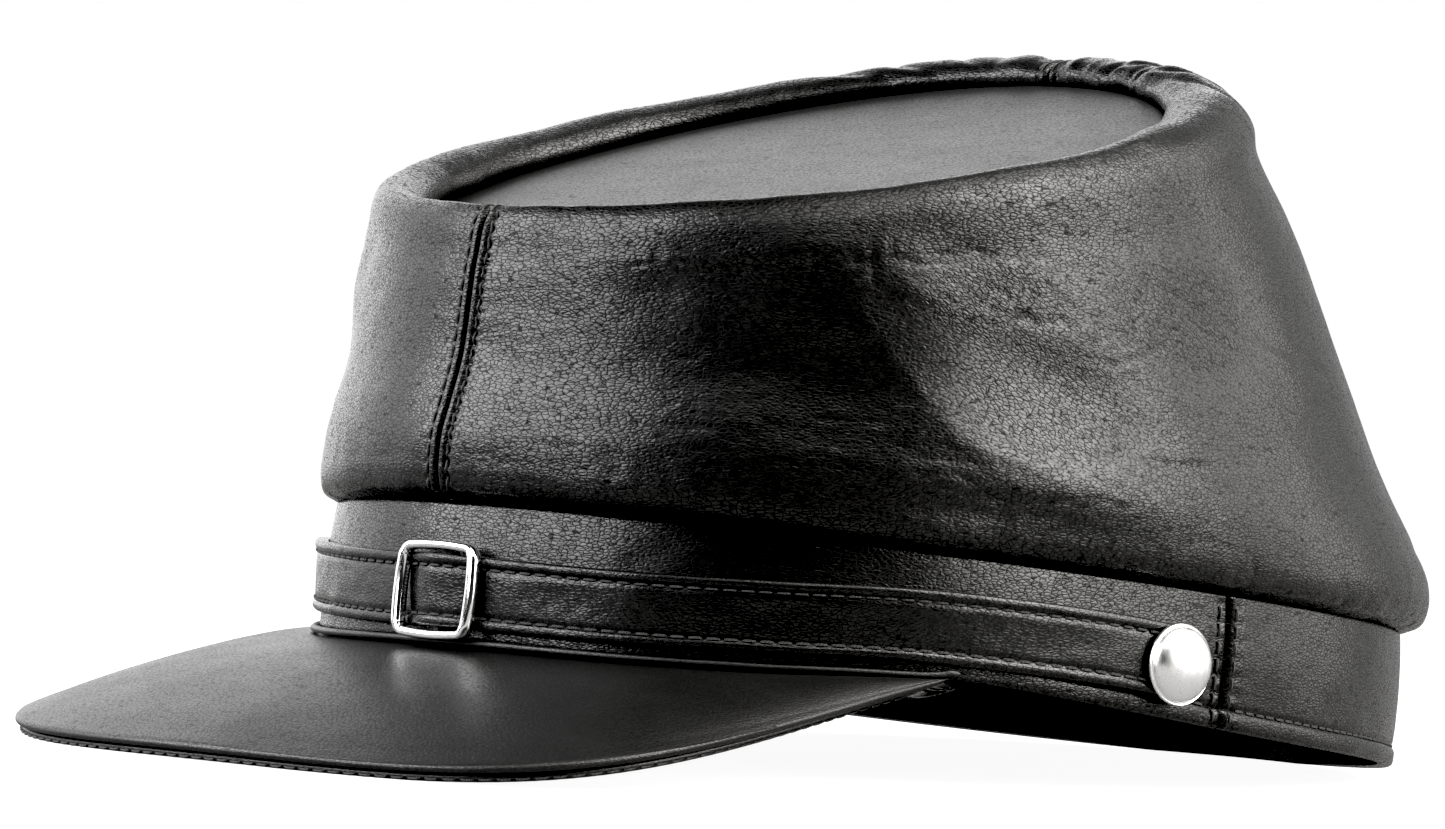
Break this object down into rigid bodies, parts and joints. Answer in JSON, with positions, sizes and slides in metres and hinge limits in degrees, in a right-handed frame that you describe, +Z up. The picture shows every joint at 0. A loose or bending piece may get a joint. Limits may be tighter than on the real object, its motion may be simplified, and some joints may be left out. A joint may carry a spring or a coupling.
{
  "type": "kepi cap",
  "caption": "Black leather kepi with a crown folded over a sunk top, a curved peak, and a chin strap with a slide buckle and domed buttons.",
  "frame": {"origin": "middle of the footprint on the surface that the cap rests on", "axes": "+Z up, -Y towards the peak, +X towards the wearer's left"},
  "size_m": [0.178, 0.2704, 0.1248],
  "materials": {
    "leather": "black grained leather with a soft sheen",
    "edge_leather": "black dyed leather edge",
    "chrome": "polished chrome plate"
  },
  "bodies": {
    "root": {"crown_left": "leather", "crown_right": "leather", "crown_top": "leather", "band_front": "leather", "band_rear": "leather", "peak": "leather", "peak_underlay": "edge_leather", "welt": "edge_leather", "chin_strap": "leather", "strap_buckle": "chrome", "button_left": "chrome", "button_right": "chrome"}
  },
  "joints": []
}
